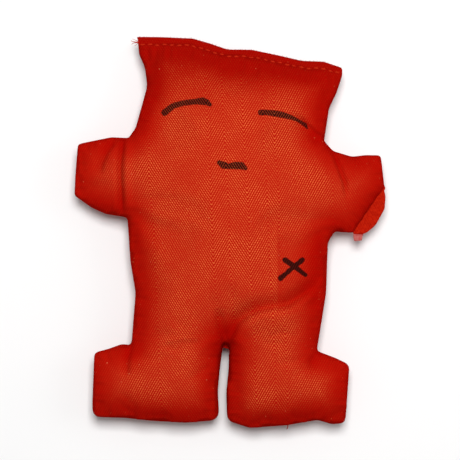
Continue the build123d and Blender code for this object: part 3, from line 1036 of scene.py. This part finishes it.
# ---------------------------------------------------------------------------------------------
# The allowance that was left outside when the left arm was sewn: a crescent of the same cloth
# with a raw edge, in its unfaded red, and a scrap of pale lining caught in the same stitches.
# ---------------------------------------------------------------------------------------------
ALLOWANCE = [(72.6, 24.0, 0.5), (73.8, 23.2, 0.6), (74.7, 21.2, 0.4), (74.1, 20.0, 0.5),
             (74.75, 17.0, 1.2), (74.3, 11.2, 4.0), (70.0, 3.4, 8.0), (66.0, 0.0, 3.0),
             (63.6, -1.1, 0.6), (59.2, -0.9, 0.8), (58.8, 4.0, 2.0), (66.0, 12.0, 8.0)]
SCRAP = [(59.3, 0.5, 0.2), (64.0, -0.2, 0.2), (63.9, -1.6, 0.5), (63.3, -4.0, 0.5),
         (59.7, -4.4, 0.6), (59.2, -2.5, 0.6)]


def scrap_of_cloth(name, corners, top, fall, thickness, ripple, material, cell):
    """A flat cut piece with a raw edge: even squares that droop away from the seam and ripple."""
    shape = bmesh.new()
    edge = [shape.verts.new((point.x, point.y, 0)) for point in rounded(corners)]
    bmesh.ops.remove_doubles(shape, verts=edge, dist=0.02)
    shape.faces.new(shape.verts)
    xs = [vert.co.x for vert in shape.verts]
    ys = [vert.co.y for vert in shape.verts]
    for axis, values in ((0, xs), (1, ys)):
        normal = (1 - axis, axis, 0)
        place = min(values) + cell
        while place < max(values):
            geometry = shape.verts[:] + shape.edges[:] + shape.faces[:]
            bmesh.ops.bisect_plane(shape, geom=geometry, dist=0.01,
                                   plane_co=(place * normal[0], place * normal[1], 0),
                                   plane_no=normal)
            place += cell
    layer = shape.verts.layers.float_vector.new("cut")
    flat_points = np.array([vert.co[:2] for vert in shape.verts])
    from_seam = nearest(flat_points, outline, True)[0]
    inside = inside_cut(flat_points)
    for vert, gap, within in zip(shape.verts, from_seam, inside):
        vert[layer] = (vert.co.x, vert.co.y, 1.0)
        gap = -gap if within else gap
        wave = ripple * math.sin(vert.co.y * 1.1 + vert.co.x * 0.4) * min(1.0, max(gap, 0) / 3.0)
        vert.co.z = top - fall * max(gap, 0.0) + wave
    bmesh.ops.recalc_face_normals(shape, faces=shape.faces)
    if sum(face.normal.z for face in shape.faces) < 0:
        bmesh.ops.reverse_faces(shape, faces=shape.faces)
    area = sum(face.calc_area() for face in shape.faces) * MM ** 2
    bmesh.ops.solidify(shape, geom=shape.faces[:], thickness=thickness)
    bmesh.ops.recalc_face_normals(shape, faces=shape.faces)
    bmesh.ops.scale(shape, verts=shape.verts, vec=(MM, MM, MM))
    for face in shape.faces:
        face.smooth = abs(face.normal.z) > 0.5
    width, length = (max(xs) - min(xs)) * MM, (max(ys) - min(ys)) * MM
    return new_piece(name, shape, material), area, width, length


raw = Finish("unfaded_twill", 0.86)
place = raw.parts(raw.add("ShaderNodeAttribute", {"attribute_name": "cut"}, {}, 1))
raw_ribs = ((place[0] * 0.86 + place[1] * 0.5) / RIB).math("PINGPONG", 0.5) * 2.0
raw_noise = raw.between(raw.noise(raw.combine(place[0], place[1], 0.0), 0.9, 4.0, 0.65), 0.3, 0.7)
raw.set("Base Color", raw.mix(raw_noise * 0.60 + raw_ribs * 0.30, (0.31, 0.003, 0.001, 1.0),
                              (0.52, 0.018, 0.004, 1.0)))
raw.bump(raw_ribs * 0.7 + raw_noise, 0.15 * MM, 0.6)

allowance, area, width, length = scrap_of_cloth(
    "left_arm_allowance", ALLOWANCE, SEAM_Z - 0.1, 0.10, 0.6, 0.25, raw.material, 0.9)
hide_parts("turned_out_allowance")
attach(allowance, "left_arm")

lining = Finish("pale_lining", 0.9)
place = lining.parts(lining.add("ShaderNodeAttribute", {"attribute_name": "cut"}, {}, 1))
threads = (place[0] * 1.9 + place[1] * 0.2).math("PINGPONG", 0.5) * 2.0
cross = (place[1] * 2.3).math("PINGPONG", 0.5) * 2.0
stain = lining.noise(lining.combine(place[0], place[1], 0.0), 0.55, 2.0)
tint = lining.mix(lining.between(stain, 0.35, 0.62), (0.42, 0.028, 0.022, 1.0),
                  (0.46, 0.110, 0.090, 1.0))
lining.set("Base Color", lining.mix(threads * cross * 0.6, tint, (0.52, 0.260, 0.270, 1.0)))
lining.bump(threads * 0.5 + cross * 0.5, 0.12 * MM)
scrap = scrap_of_cloth("lining_caught_in_seam", SCRAP, SEAM_Z - 0.5, 0.05, 0.3, 0.15,
                       lining.material, 0.7)[0]
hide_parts("lining_scrap")
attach(scrap, "left_arm")
